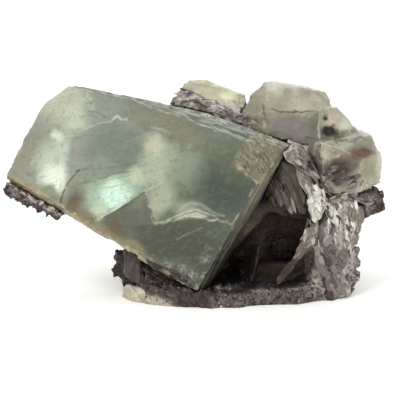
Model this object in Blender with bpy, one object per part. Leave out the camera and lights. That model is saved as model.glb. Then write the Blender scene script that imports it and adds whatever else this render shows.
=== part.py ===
"""Fluorite specimen: a big tilted fluorite block and smaller crystals grown on dark vein rock.

Metres, +Z up. The specimen rests on a flat underside at Z = 0, with its long way along X and its
show side towards -Y. Sizes and places below are in millimetres: mm() turns them into metres and
moves them so that the middle of the whole thing stands over the origin.
"""

import math
import random

import bmesh
import bpy
from mathutils import Matrix, Vector

MM = 0.001

# Driving dimensions, in millimetres and degrees
GAP = 0.3  # clearance between neighbouring pieces
MIDDLE = (0.0, 5.9)  # what the whole specimen is centred on
BLOCK_LENGTH = 58.1
BLOCK_HEIGHT = 43.0  # at its right end
BLOCK_DEPTH_RIGHT = 24.0
BLOCK_DEPTH_LEFT = 17.0
BLOCK_CORNER = (0.2, -16.5, 5.4)  # its lowest corner, which nearly touches the ledge
BLOCK_ROLL = 29.9  # its long edge slopes down to the right by this
BLOCK_LEAN = 9.5  # its front face looks up by this
BLOCK_YAW = 8.5  # and to the left by this
BLOCK_TOP_CLIMB = 10.0  # the top edge, against the bottom one
STEP_DEPTH = 0.5  # the cleavage step on the front face
LEDGE_TOP = 4.8
ROCK_VOXEL = 1.1
ROCK_KEEP = 0.2  # share of the rock's fine mesh that its facets keep
GRAIN_SIZES = (1.3, 2.6)

SEED = 11


def mm(x, y, z):
    return Vector((x - MIDDLE[0], y - MIDDLE[1], z)) * MM


def clear_scene():
    for obj in list(bpy.data.objects):
        bpy.data.objects.remove(obj)


def finish(name, colour, roughness):
    """A material of the piece's own colour and gloss."""
    mat = bpy.data.materials.new(name)
    mat.use_nodes = True
    shader = mat.node_tree.nodes["Principled BSDF"]
    shader.inputs["Base Color"].default_value = (*colour, 1.0)
    shader.inputs["Roughness"].default_value = roughness
    shader.inputs["Metallic"].default_value = 0.0
    return mat


def place(name, bm, mat=None):
    """Turns a bmesh into a named object."""
    bmesh.ops.recalc_face_normals(bm, faces=bm.faces)
    mesh = bpy.data.meshes.new(name)
    bm.to_mesh(mesh)
    bm.free()
    obj = bpy.data.objects.new(name, mesh)
    bpy.context.scene.collection.objects.link(obj)
    if mat:
        mesh.materials.append(mat)
    return obj


def helper(name, bm):
    """An object that only cuts or joins others."""
    obj = place(name, bm)
    obj.hide_render = True
    obj.display_type = "WIRE"
    return obj


def wrap(points):
    """The convex solid round some points."""
    bm = bmesh.new()
    for point in points:
        bm.verts.new(point)
    made = bmesh.ops.convex_hull(bm, input=bm.verts)
    inside = [v for v in made["geom_interior"] if isinstance(v, bmesh.types.BMVert)]
    bmesh.ops.delete(bm, geom=inside, context="VERTS")
    flat = math.radians(1.0)
    bmesh.ops.dissolve_limit(bm, angle_limit=flat, verts=bm.verts, edges=bm.edges)
    bmesh.ops.recalc_face_normals(bm, faces=bm.faces)
    return bm


def hull(corners):
    return wrap([mm(*corner) for corner in corners])


def cleave(bm, point, normal):
    """Takes off what lies beyond a plane and closes the cut."""
    geometry = list(bm.verts) + list(bm.edges) + list(bm.faces)
    made = bmesh.ops.bisect_plane(
        bm, geom=geometry, plane_co=point, plane_no=normal, clear_outer=True
    )
    rim = [e for e in made["geom_cut"] if isinstance(e, bmesh.types.BMEdge)]
    if rim:
        bmesh.ops.holes_fill(bm, edges=rim)


def solid_between(planes, grow=0.0):
    """The convex solid inside a set of planes, each moved out by grow."""
    bm = bmesh.new()
    bmesh.ops.create_cube(bm, size=400 * MM)
    for point, normal in planes:
        cleave(bm, point + normal * grow * MM, normal)
    bmesh.ops.recalc_face_normals(bm, faces=bm.faces)
    return bm


def planes_of(bm):
    """A point and the outward normal of each flat face."""
    return [(f.calc_center_median(), f.normal.copy()) for f in bm.faces]


def modify(obj, operation, *tools, tangled=False):
    for tool in tools:
        step = obj.modifiers.new(operation.lower() + "_" + tool.name, "BOOLEAN")
        step.operation = operation
        step.object = tool
        step.use_self = tangled


def bodies_of(bm):
    """The vertices of each separate body."""
    left = set(bm.verts)
    bodies = []
    while left:
        front = [left.pop()]
        body = set(front)
        while front:
            vert = front.pop()
            near = {edge.other_vert(vert) for edge in vert.link_edges} & left
            left -= near
            body |= near
            front += near
        bodies.append(body)
    return bodies


def settle(obj):
    """Applies the modifiers and keeps the largest body, since a cut can leave crumbs."""
    graph = bpy.context.evaluated_depsgraph_get()
    made = obj.evaluated_get(graph)
    bm = bmesh.new()
    bm.from_mesh(made.to_mesh())
    made.to_mesh_clear()
    bmesh.ops.remove_doubles(bm, verts=bm.verts, dist=0.002 * MM)
    largest = max(bodies_of(bm), key=len)
    crumbs = [v for v in bm.verts if v not in largest]
    bmesh.ops.delete(bm, geom=crumbs, context="VERTS")
    bmesh.ops.triangulate(bm, faces=bm.faces)
    obj.modifiers.clear()
    bm.to_mesh(obj.data)
    bm.free()


class Crystal:
    """One piece of convex solids that overlap, and the sockets its neighbours leave for it."""

    def __init__(self, name, solids, mat):
        self.name = name
        self.faces = [planes_of(solid) for solid in solids]
        self.obj = place(name, solids[0], mat)
        for number, solid in enumerate(solids[1:], 2):
            modify(self.obj, "UNION", helper(f"{name}_part_{number}", solid))

    def sockets(self):
        return [
            helper(f"{self.name}_socket_{number}", solid_between(planes, GAP))
            for number, planes in enumerate(self.faces, 1)
        ]


def block_frame():
    """From the block's own axes (x along its long edge, y inwards, z up its face) to the world."""
    turn = (
        Matrix.Rotation(math.radians(-BLOCK_LEAN), 4, "X")
        @ Matrix.Rotation(math.radians(-BLOCK_YAW), 4, "Z")
        @ Matrix.Rotation(math.radians(BLOCK_ROLL), 4, "Y")
    )
    return Matrix.Translation(mm(*BLOCK_CORNER)) @ turn


def on_block(x, y, z):
    return block_frame() @ (Vector((x, y, z)) * MM)


def facing(point, normal):
    """A plane given in the block's own axes."""
    return on_block(*point), (block_frame().to_3x3() @ Vector(normal)).normalized()


def through(first, second, third):
    """The plane through three points in the block's axes, facing away from its inside."""
    a, b, c = (on_block(*corner) for corner in (first, second, third))
    normal = (b - a).cross(c - a).normalized()
    inside = on_block(-BLOCK_LENGTH / 2, BLOCK_DEPTH_LEFT / 2, BLOCK_HEIGHT / 2)
    return a, normal if normal.dot(inside - a) < 0 else -normal


def make_block(mat):
    climb = math.tan(math.radians(BLOCK_TOP_CLIMB))
    left = -BLOCK_LENGTH
    top = BLOCK_HEIGHT
    back = BLOCK_DEPTH_RIGHT
    taper = (BLOCK_DEPTH_RIGHT - BLOCK_DEPTH_LEFT) / BLOCK_LENGTH
    planes = [
        facing((0, 0, 0), (0, -1, 0)),
        facing((2.0, 0, 0), (1, 0, 0)),
        facing((0, 0, -1.2), (0, 0, -1)),
        facing((left, 0, 11.0), (-1, 0, 0)),
        facing((left, 0, 11.0), (-1, 0, -0.06)),
        facing((0, 0, top), (-climb, 0, 1)),
        through((-36.0, 0, 34.6), (-54.5, 0, 28.5), (-36.0, 9, 34.5)),
        through((-54.5, 0, 28.5), (left, 0, 21.0), (-54.5, 9, 28.8)),
        facing((0, back, 0), (-taper, 1, 0)),
        through((0.3, 0, 0), (0.3, 0, top), (2.0, 4.0, 0)),
        through((left, 0, 0.5), (-8.0, 0, 0.2), (-8.0, 1.7, -1.2)),
        through((0, 0, top - 2.7), (-20.0, 0, top - 2.7 - 20 * climb), (0, 3.2, top)),
        through((-16.0, back, 0), (-16.0, back, 30), (2.0, back - 8.0, 0)),
        (mm(0, 0, LEDGE_TOP - 0.4), Vector((0, 0, -1))),
    ]
    block = Crystal("main_crystal", [solid_between(planes)], mat)
    modify(block.obj, "DIFFERENCE", *block_scars())
    return block


def block_scars():
    """Where the block's face broke away: a sunk field with a corner, and a chip at the top right."""
    fields = {
        "sunk_triangle": [
            (-36, -4), (-30.2, 3.8), (-26.9, 8.1), (-23.9, 15.0), (-17.6, 8.8), (-14, -4),
        ],
        "sunk_field": [
            (-21, -4), (-17.6, 8.8), (-11.7, 14.1), (-4.2, 18.1), (6, 20.5), (6, -4),
        ],
    }
    scars = []
    for name, outline in fields.items():
        corners = [on_block(x, y, z) for x, z in outline for y in (-3.0, STEP_DEPTH)]
        scars.append(helper(name, wrap(corners)))
    chip = [(-7.5, 38.6), (-6.8, 32.5), (0.8, 31.6), (5, 31.0), (5, 46.0), (-4.0, 44.0)]
    depths = [-0.2, -0.2, -0.2, 2.4, 2.6, 1.2]
    corners = [on_block(x, -5, z) for x, z in chip]
    corners += [on_block(x, y, z) for (x, z), y in zip(chip, depths)]
    scars.append(helper("corner_chip", wrap(corners)))
    return scars


def make_rear(mat):
    """Three crystals grown into one another: a grey one, a cream shoulder and a waxy side one."""
    grey = [
        (17.4, 1.5, 48.0), (29.0, 1.5, 48.1), (32.4, 1.5, 48.5), (32.4, -0.5, 36.8),
        (28.5, -1, 34.2), (19.5, -1, 38.5),
        (19.9, 7, 55.4), (30.4, 7, 53.6), (34.3, 9, 52.2), (35.9, 9, 49.8),
        (14.4, 8, 51.3), (11.2, 4, 46.1), (13.0, 3, 43.4),
        (18.5, 13, 54.8), (28.5, 14, 53.2), (15.0, 23, 48.0), (27.0, 27, 50.0), (37.0, 24, 44.5),
        (14.0, 23, 38.0), (35.0, 24, 33.0),
    ]
    cream = [
        (33.4, 4, 48.8), (37.4, 8, 48.7), (40.1, 8.5, 44.9), (43.0, 8, 42.2), (38.2, 3, 40.9),
        (33.2, 2.5, 44.0), (33.0, 3, 40.6), (30.0, 9, 44.0),
        (37.5, 22, 46.0), (43.0, 20, 41.0), (34.0, 20, 37.0), (41.0, 12, 37.0),
    ]
    waxy = [
        (32.4, -2, 40.6), (38.0, 0, 41.3), (41.1, 4, 41.9), (46.2, 5, 41.6), (48.4, 5, 37.6),
        (49.1, 5, 34.7), (48.9, 4, 28.4), (41.6, -4, 27.6), (33.6, -6, 28.2), (32.6, -6, 35.6),
        (38.8, -4.5, 38.6), (43.3, -3.5, 36.6), (47.3, 0.5, 36.9), (27.0, 8, 36.0),
        (44.0, 21, 40.5), (47.2, 19, 34.0), (46.0, 17, 27.6), (35.0, 19, 29.0), (35.0, 20, 39.0),
    ]
    return Crystal("rear_crystals", [hull(grey), hull(cream), hull(waxy)], mat)


def make_ridge(mat):
    corners = [
        (-5.2, 10, 51.6), (-3.0, 11, 54.4), (-2.0, 12.5, 54.9), (2.8, 12.5, 54.8),
        (6.5, 12.5, 53.4), (13.2, 14, 50.6), (14.2, 10, 47.8), (10.7, 9, 48.0), (4.6, 8, 48.7),
        (1.2, 8, 51.0), (-0.9, 9, 52.6), (-2.8, 9, 51.4),
        (-2.5, 21, 51.0), (7.0, 23, 50.5), (14.5, 22, 46.0), (4.0, 15, 42.0), (-3.0, 14, 46.0),
    ]
    return Crystal("ridge_crystal", [hull(corners)], mat)


def make_inner(mat):
    corners = [
        (22.2, -8.5, 37.3), (25.8, -9, 35.3), (28.2, -9.5, 27.7), (28.0, -9.5, 23.6),
        (23.4, -9, 24.6), (19.3, -6, 24.6), (17.4, -5, 28.2), (20.7, -6, 34.2),
        (31.5, 0, 34.5), (32.0, 0, 24.0), (22.0, 9, 24.0), (23.0, 8, 38.5),
    ]
    return Crystal("inner_crystal", [hull(corners)], mat)


def make_cap(mat):
    corners = [
        (22.4, -11.2, 39.8), (24.7, -10.6, 40.6), (27.6, -9.6, 38.8), (28.6, -9.4, 36.4),
        (25.8, -10.4, 36.2), (23.2, -11.2, 37.8),
        (24.0, -2, 41.6), (29.5, -2, 39.6), (30.0, -2.5, 36.0), (26.0, -3, 36.2),
    ]
    return Crystal("cap_shard", [hull(corners)], mat)


def make_splinter(mat):
    corners = [
        (25.6, -10.4, 35.8), (27.3, -10.0, 35.0), (29.6, -9.6, 30.3), (28.6, -10.2, 28.6),
        (26.6, -10.6, 31.6), (27.6, -7.0, 35.2), (30.6, -6.0, 31.0), (29.8, -6.6, 28.4),
    ]
    return Crystal("splinter", [hull(corners)], mat)


def make_icy(mat):
    corners = [
        (28.4, -8.4, 29.0), (31.1, -9.0, 30.2), (33.4, -8.2, 28.6), (33.8, -8.4, 25.9),
        (32.4, -9.4, 22.2), (30.9, -9.6, 21.0), (28.6, -9.2, 24.2), (27.8, -8.6, 27.0),
        (31.4, -10.6, 27.4), (31.8, -10.6, 24.0),
        (29.4, -3.0, 28.0), (33.0, -3.0, 28.0), (32.6, -3.0, 22.4), (29.6, -3.0, 23.4),
    ]
    return Crystal("icy_shard", [hull(corners)], mat)


def make_fang(mat):
    """A curved blade: wide under the icy shard, then tapering down to the ledge."""
    upper = [
        (30.0, -8.0, 20.6), (31.9, -8.0, 20.4), (31.3, -9.6, 15.4), (30.2, -10.0, 15.4),
        (27.9, -9.6, 17.4), (28.4, -10.2, 14.6), (30.6, -6.0, 20.0), (31.6, -6.4, 15.4),
        (28.8, -7.4, 14.8),
    ]
    middle = [
        (27.9, -9.4, 17.2), (31.2, -9.4, 15.5), (28.4, -10.4, 14.2), (26.4, -10.6, 12.7),
        (24.2, -10.8, 10.6), (27.2, -10.0, 11.7), (29.6, -8.2, 14.6), (25.6, -8.8, 10.6),
        (28.2, -7.8, 15.8),
    ]
    lower = [
        (26.2, -10.4, 12.9), (24.0, -10.9, 10.7), (27.2, -9.6, 11.8), (20.8, -11.3, 6.6),
        (21.2, -10.6, 4.4), (22.6, -10.6, 5.4), (23.2, -9.4, 6.4), (25.4, -8.9, 10.9),
        (21.8, -9.6, 5.2),
    ]
    return Crystal("fang_blade", [hull(upper), hull(middle), hull(lower)], mat)


def make_thin(mat):
    corners = [
        (16.7, -3.2, 13.4), (16.1, -4.4, 9.2), (14.6, -5.4, 3.8), (11.2, -2.6, 3.6),
        (12.3, -1.6, 8.7), (14.4, 0.2, 13.6), (17.2, -2.6, 13.4), (16.8, -3.6, 9.2),
        (15.4, -4.8, 3.8), (12.0, -1.6, 3.6), (15.2, 0.9, 13.6),
    ]
    return Crystal("thin_blade", [hull(corners)], mat)


def make_seam(mat):
    corners = [
        (37.4, -4.4, 24.2), (39.4, -3.8, 25.6), (44.4, -1.0, 24.0), (45.0, -0.6, 19.6),
        (42.6, -2.4, 14.4), (41.0, -3.8, 12.4), (39.0, -5.2, 17.3), (36.9, -5.8, 21.6),
        (40.5, -5.4, 20.6), (42.6, 5, 23.0), (43.0, 4, 15.0), (38.5, 4, 14.0), (37.6, 4, 24.0),
    ]
    return Crystal("quartz_seam", [hull(corners)], mat)


def make_left_plate(mat):
    corners = [
        (-18.8, -3.4, 12.0), (-14.6, -5.8, 10.9), (-13.2, -7.0, 3.6), (-14.6, -7.2, 3.4),
        (-18.6, -5.8, 5.8), (-17.8, -1.4, 12.6), (-13.4, -4.2, 11.2), (-12.4, -5.4, 3.6),
        (-17.6, -3.2, 5.2),
    ]
    return Crystal("left_plate", [hull(corners)], mat)


def make_foot_quartz(mat):
    corners = [
        (-19.0, -4.6, 1.8), (-18.2, -5.0, 3.4), (-15.0, -8.6, 3.5), (-12.6, -10.6, 2.6),
        (-11.8, -11.2, 0.0), (-14.6, -10.6, 0.0), (-18.0, -8.0, 0.0), (-19.2, -5.0, 0.0),
        (-15.6, -10.0, 2.0), (-18.2, 1.0, 0.0), (-18.4, 1.0, 2.8), (-10.4, -5.0, 0.0),
        (-10.6, -5.0, 3.0),
    ]
    return Crystal("foot_quartz", [hull(corners)], mat)


def make_tip_crust(mat, dice):
    """A crust of small dark crystals under the block's left end."""
    left, right = -BLOCK_LENGTH + 1.3, -40.0
    base = [
        (left, 0.4, -1.5), (left, 13.0, -1.5), (right, 1.2, -1.5), (right, 9.0, -1.5),
        (left + 0.4, 1.0, -3.6), (left + 0.8, 11.0, -3.4), (right - 2, 2.0, -2.4),
        (right - 2, 8.0, -2.2),
    ]
    crust = Crystal("tip_crust", [wrap([on_block(*corner) for corner in base])], mat)
    spots = []
    count = 26
    for number in range(count):
        share = number / (count - 1)
        inwards = dice.uniform(0.9, 1.6) if number % 2 else dice.uniform(2.0, 10.0)
        down = -3.5 + 1.3 * share + dice.uniform(-0.2, 0.5)
        spots.append(on_block(left + 0.9 + (right - left - 2) * share, inwards, down))
    modify(crust.obj, "UNION", grains("crust_grains", spots, dice), tangled=True)
    return crust


def grains(name, spots, dice):
    """Small cubic crystals, each turned its own way, for a Boolean to join to their carrier."""
    bm = bmesh.new()
    for spot in spots:
        tilt = Matrix.Rotation(dice.uniform(0, math.pi), 4, Vector((1, 1, 1)).normalized())
        turn = Matrix.Rotation(dice.uniform(0, math.pi), 4, "Z")
        where = Matrix.Translation(spot) @ turn @ tilt
        bmesh.ops.create_cube(bm, size=dice.uniform(*GRAIN_SIZES) * MM, matrix=where)
    return helper(name, bm)


def rock_lumps():
    """The rough masses that the vein rock is made of, as corner points."""
    footprint = [
        (-19.0, -4.0), (-12.5, -11.5), (-4.0, -15.8), (4.0, -16.6), (13.0, -14.8), (27.0, -11.2),
        (37.0, -7.2), (41.0, -2.0), (43.0, 8.0), (41.0, 20.0), (30.0, 27.0), (5.0, 28.0),
        (-12.0, 23.0), (-19.0, 8.0),
    ]
    slab = [(x, y, z) for x, y in footprint for z in (-3.0, LEDGE_TOP - 0.3)]
    foot = [
        (-21.0, -1, 8.5), (-20.0, -2, 4.0), (-19.6, 2, 12.0), (-14.0, -4, 13.0), (0.0, -5, 8.0),
        (0.0, -8, 3.0), (-13.0, -6, 3.0), (-17.0, 14, 22.0), (0.0, 14, 22.0), (-18.0, 16, 3.0),
        (0.0, 16, 3.0),
    ]
    body = [
        (-14.0, 6, 0), (36.0, 6, 0), (38.0, 24, 0), (-14.0, 26, 0),
        (-20.0, 14, 26.0), (-16.0, 26, 28.0), (14.0, 4, 22.0), (34.0, 4, 26.0), (40.0, 22, 30.0),
        (-12.0, 12, 44.0), (-8.0, 24, 42.0), (34.0, 10, 38.0), (30.0, 26, 36.0), (12.0, 29, 38.0),
    ]
    ceiling = [
        (15.0, -4, 28.0), (32.0, -5, 30.0), (31.0, -5, 38.0), (20.0, -4, 39.0), (32.0, -6, 24.5),
        (16.0, 6, 22.0), (33.0, 6, 22.0), (14.0, 8, 42.0), (33.0, 8, 40.0),
    ]
    saddle = [
        (-10.0, 8, 46.5), (-6.6, 8, 50.0), (-3.0, 8, 52.0), (1.0, 8, 51.6), (3.0, 6, 49.0),
        (12.0, 5, 46.4), (20.0, 4, 42.0), (-7.0, 18, 49.0), (2.0, 22, 50.0), (16.0, 24, 46.0),
        (-12.0, 12, 38.0), (20.0, 14, 36.0), (0.0, 24, 38.0),
    ]
    column = [
        (32.4, -8.6, 3.0), (40.6, -4, 3.0), (42.2, 2, 8.0), (42.0, 14, 3.0), (31.0, 14, 3.0),
        (31.6, -9.2, 17.0), (33.0, -8.6, 24.0), (41.0, -2, 22.0), (42.0, 12, 24.0),
        (32.0, 12, 24.0), (40.8, -5, 10.0), (28.0, -7.8, 4.6), (33.0, -8.8, 10.0),
    ]
    band = [
        (33.4, -5, 28.4), (48.4, 1, 27.8), (49.6, 4, 25.2), (51.4, 5, 21.8), (45.6, 4, 18.6),
        (41.0, -2, 20.0), (34.0, -6, 24.0), (44.0, 17, 28.0), (45.0, 15, 20.0), (34.0, 16, 26.0),
    ]
    return [slab, foot, body, ceiling, saddle, column, band]


def grain_spots(dice):
    """Where small crystals stand on the rock: the ledge's front, the dark band and the saddle."""
    rows = [
        ((-2.0, -15.6, 4.0), (36.0, -6.6, 4.0), 22),
        ((-14.0, -9.0, 3.6), (-3.0, -15.0, 3.8), 5),
        ((35.0, -4.6, 26.6), (48.0, 2.0, 25.6), 12),
        ((-6.0, 7.6, 50.0), (12.0, 5.6, 46.6), 9),
        ((42.0, -2.0, 4.0), (42.4, 4.0, 17.0), 6),
        ((-20.6, -1.4, 5.0), (-20.0, 0.0, 11.0), 4),
    ]
    spots = []
    for start, end, count in rows:
        for number in range(count):
            share = (number + dice.uniform(0.1, 0.9)) / count
            spot = [a + (b - a) * share + dice.uniform(-0.5, 0.5) for a, b in zip(start, end)]
            spots.append(mm(*spot))
    return spots


def one_skin(rock):
    """Joins what overlaps and takes out folds, so that the Booleans have a clean skin to cut."""
    skin = rock.modifiers.new("one_skin", "REMESH")
    skin.mode = "VOXEL"
    skin.voxel_size = ROCK_VOXEL * MM


def make_rock(mat, sockets, dice):
    bm = bmesh.new()
    for corners in rock_lumps():
        lump = hull(corners)
        mesh = bpy.data.meshes.new("lump")
        lump.to_mesh(mesh)
        lump.free()
        bm.from_mesh(mesh)
        bpy.data.meshes.remove(mesh)
    rock = place("matrix", bm, mat)

    one_skin(rock)
    cavity = [
        (12.0, -16, 5.2), (31.6, -14, 5.2), (31.0, -14, 15), (29.5, -14, 21), (19, -14, 23.0),
        (20.0, 11, 20.0), (8.0, 11, 6.0), (26.0, 13, 6.5), (29.0, 9, 18.0), (3.0, -5, 5.2),
    ]
    modify(rock, "DIFFERENCE", helper("cavity", hull(cavity)))
    for name, scale, strength in (("crag", 9.0, 3.0), ("lump", 4.2, 1.6)):
        texture = bpy.data.textures.new(name, "VORONOI")
        texture.noise_scale = scale * MM
        push = rock.modifiers.new(name, "DISPLACE")
        push.texture = texture
        push.texture_coords = "LOCAL"
        push.strength = strength * MM
        push.mid_level = 0.5
    one_skin(rock)
    facets = rock.modifiers.new("facets", "DECIMATE")
    facets.ratio = ROCK_KEEP
    modify(rock, "UNION", grains("rock_grains", grain_spots(dice), dice), tangled=True)
    below = [(x, y, z) for x in (-80, 80) for y in (-80, 80) for z in (-60, 0)]
    modify(rock, "DIFFERENCE", helper("below_floor", hull(below)), *sockets)
    settle(rock)


def main():
    clear_scene()
    dice = random.Random(SEED)
    green = finish("grey_green_fluorite", (0.22, 0.25, 0.20), 0.25)
    pale = finish("pale_fluorite", (0.42, 0.42, 0.33), 0.35)
    dark = finish("dark_green_fluorite", (0.07, 0.075, 0.06), 0.35)
    quartz = finish("cream_quartz", (0.36, 0.32, 0.26), 0.45)
    ice = finish("white_calcite", (0.62, 0.62, 0.55), 0.4)
    rock = finish("vein_rock", (0.075, 0.062, 0.058), 0.75)
    crystals = [
        make_block(green),
        make_rear(pale),
        make_ridge(pale),
        make_cap(quartz),
        make_splinter(quartz),
        make_inner(dark),
        make_icy(ice),
        make_fang(quartz),
        make_thin(dark),
        make_seam(quartz),
        make_left_plate(quartz),
        make_foot_quartz(ice),
        make_tip_crust(rock, dice),
    ]
    taken = []
    for crystal in crystals:
        modify(crystal.obj, "DIFFERENCE", *taken)
        settle(crystal.obj)
        taken += crystal.sockets()
    make_rock(rock, taken, dice)


main()
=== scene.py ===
import math
import random

import bmesh
import bpy
import numpy as np
from mathutils import Matrix, Vector, bvhtree, kdtree, noise


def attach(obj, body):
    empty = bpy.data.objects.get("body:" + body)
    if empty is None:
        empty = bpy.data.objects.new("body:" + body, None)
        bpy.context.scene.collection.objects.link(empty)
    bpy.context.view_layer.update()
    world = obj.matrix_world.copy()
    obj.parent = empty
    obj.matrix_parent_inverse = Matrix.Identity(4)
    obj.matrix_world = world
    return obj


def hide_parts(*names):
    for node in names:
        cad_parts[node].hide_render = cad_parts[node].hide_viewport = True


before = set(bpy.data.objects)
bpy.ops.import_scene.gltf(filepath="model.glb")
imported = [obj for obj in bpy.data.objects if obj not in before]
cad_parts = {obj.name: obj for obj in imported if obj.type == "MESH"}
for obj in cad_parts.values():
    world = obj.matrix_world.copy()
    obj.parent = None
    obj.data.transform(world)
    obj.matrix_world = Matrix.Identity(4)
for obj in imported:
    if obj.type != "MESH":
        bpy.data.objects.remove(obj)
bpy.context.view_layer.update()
mm = 0.001  # every size below is in millimetres


# The studio: what the camera looks at and from how high, the floor, and each lamp's place, size and power
stage = {
    "target": (1.2, -5.9, 25.0), "distance": 500.0, "elevation": 12.0, "viewWidth": 105.0,
    "floor": 3000.0, "floorGlow": 0.12, "world": 1.0,
    "key": ((-260, -330, 420), 260, 1.2), "rim": ((120, 240, 380), 200, 0.4),
}


# Colours, given as they look on screen

def linear(value):
    value /= 255
    return value / 12.92 if value <= 0.04045 else ((value + 0.055) / 1.055) ** 2.4


exposure = 1.17  # how much brighter than its own colour a face looks in the studio's light
shine = 0.028  # what its gloss adds to that


def tint(red, green, blue):
    return (*(max(linear(value) / exposure - shine, 0.003) for value in (red, green, blue)), 1.0)


# Materials: a Wire is one socket's value, and expressions on wires add their own nodes

class Wire:
    def __init__(self, finish, socket):
        self.finish = finish
        self.socket = socket

    def maths(self, operation, *values, clamp=False):
        settings = {"operation": operation, "use_clamp": clamp}
        return self.finish.node("ShaderNodeMath", settings, dict(enumerate(values)))

    def __add__(self, other):
        return self.maths("ADD", self, other)

    def __sub__(self, other):
        return self.maths("SUBTRACT", self, other)

    def __rsub__(self, other):
        return self.maths("SUBTRACT", other, self)

    def __mul__(self, other):
        return self.maths("MULTIPLY", self, other)

    __radd__ = __add__
    __rmul__ = __mul__

    def clamped(self):
        return self.maths("ADD", self, 0.0, clamp=True)

    def rise(self, low, high):
        # from 0 at low to 1 at high, with soft ends
        settings = {"interpolation_type": "SMOOTHSTEP"}
        return self.finish.node("ShaderNodeMapRange", settings, {0: self, 1: low, 2: high})


class Finish:
    def __init__(self, name, **fixed):
        self.material = bpy.data.materials.new(name)
        self.material.use_nodes = True
        self.tree = self.material.node_tree
        self.shader = self.tree.nodes["Principled BSDF"]
        for socket, value in fixed.items():
            self.shader.inputs[socket.replace("_", " ")].default_value = value
        self.place = self.node("ShaderNodeTexCoord", output="Object")

    def node(self, kind, settings=None, values=None, output=0):
        made = self.tree.nodes.new(kind)
        for key, value in (settings or {}).items():
            if key == "stops":
                self.setStops(made.color_ramp, value)
            else:
                setattr(made, key, value)
        for key, value in (values or {}).items():
            if isinstance(value, Wire):
                self.tree.links.new(value.socket, made.inputs[key])
            else:
                made.inputs[key].default_value = value
        return Wire(self, made.outputs[output])

    def setStops(self, ramp, stops):
        while len(ramp.elements) < len(stops):
            ramp.elements.new(0.5)
        for element, (position, colour) in zip(ramp.elements, stops):
            element.position = position
            element.color = colour

    def ramp(self, value, *stops):
        return self.node("ShaderNodeValToRGB", {"stops": stops}, {0: value})

    def shades(self, value, *stops):
        # a ramp through colours given as they look on screen
        return self.ramp(value, *((position, tint(*colour)) for position, colour in stops))

    def cover(self, share, coat):
        # lays a coat over the paint
        values = {0: share, 6: self.paint, 7: coat}
        self.paint = self.node("ShaderNodeMix", {"data_type": "RGBA"}, values, output=2)

    def lay(self, share, *colour):
        self.cover(share, tint(*colour))

    def vector(self, operation, *values, output=0):
        settings = {"operation": operation}
        return self.node("ShaderNodeVectorMath", settings, dict(enumerate(values)), output)

    def turned(self, place, location=(0, 0, 0), rotation=(0, 0, 0), scale=(1, 1, 1)):
        # what the place reads in a set of axes that stand at location, turned and scaled
        values = {"Vector": place, "Location": location, "Rotation": rotation, "Scale": scale}
        return self.node("ShaderNodeMapping", {"vector_type": "TEXTURE"}, values)

    def clouds(self, place, size, detail=4.0, roughness=0.55, distortion=0.0):
        values = {
            "Vector": place, "Scale": 1.0 / size, "Detail": detail,
            "Roughness": roughness, "Distortion": distortion,
        }
        return self.node("ShaderNodeTexNoise", {}, values)

    def cells(self, place, size, feature="F1", output="Distance"):
        values = {"Vector": place, "Scale": 1.0 / size}
        return self.node("ShaderNodeTexVoronoi", {"feature": feature}, values, output)

    def patch(self, place, centre, reach, core=0.0):
        # 1 inside, fading to 0 at the rim of an ellipsoid
        stretch = [1.0 / size for size in reach]
        shift = [-middle / size for middle, size in zip(centre, reach)]
        moved = self.vector("MULTIPLY_ADD", place, stretch, shift)
        return self.vector("LENGTH", moved, output=1).rise(1.0, core)

    def sway(self, place, size, reach, detail=2.0):
        # the place, pushed about by noise
        values = {"Vector": place, "Scale": 1.0 / size, "Detail": detail}
        pushed = self.node("ShaderNodeTexNoise", {}, values, "Color")
        moved = self.vector("MULTIPLY_ADD", pushed, [reach * 2] * 3, [-reach] * 3)
        return self.vector("ADD", place, moved)

    def mark(self, name):
        return self.node("ShaderNodeAttribute", {"attribute_name": name}, output="Fac")

    def colour(self, name):
        return self.node("ShaderNodeAttribute", {"attribute_name": name}, output="Color")

    def feed(self, socket, wire):
        self.tree.links.new(wire.socket, self.shader.inputs[socket])

    def layZones(self, place, zones):
        # each zone's centre, reach, core, colour and strength
        for centre, reach, core, colour, strength in zones:
            self.lay(self.patch(place, centre, reach, core) * strength, *colour)

    def streaks(self, place, rotation, scale, *look):
        # clouds drawn out along one way
        return self.clouds(self.turned(place, rotation=rotation, scale=scale), 1.0, *look)

    def bump(self, height, strength, distance):
        values = {"Height": height, "Strength": strength, "Distance": distance * mm}
        self.feed("Normal", self.node("ShaderNodeBump", {}, values))

    def scaledPlace(self):
        return self.turned(self.place, scale=(mm, mm, mm))


# Shapes: each crystal starts from its own solid, gets a fine skin, and is then broken and worn

def meshOf(name, skin):
    mesh = bpy.data.meshes.new(name)
    skin.to_mesh(mesh)
    skin.free()
    return mesh


def placed(name, data):
    made = bpy.data.objects.new(name, data)
    bpy.context.scene.collection.objects.link(made)
    return made


def cleanCopy(node):
    skin = bmesh.new()
    skin.from_mesh(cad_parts[node].data)
    bmesh.ops.remove_doubles(skin, verts=skin.verts, dist=0.01 * mm)
    flat = math.radians(1.5)
    bmesh.ops.dissolve_limit(skin, angle_limit=flat, verts=skin.verts, edges=skin.edges)
    return skin


def fineSkin(node, voxel):
    mesh = meshOf("fine", cleanCopy(node))
    carrier = placed("fine", mesh)
    step = carrier.modifiers.new("fine", "REMESH")
    step.mode = "VOXEL"
    step.voxel_size = voxel * mm
    made = carrier.evaluated_get(bpy.context.evaluated_depsgraph_get())
    fine = bmesh.new()
    fine.from_mesh(made.to_mesh())
    made.to_mesh_clear()
    bpy.data.objects.remove(carrier)
    bpy.data.meshes.remove(mesh)
    fine.normal_update()
    return fine


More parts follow.
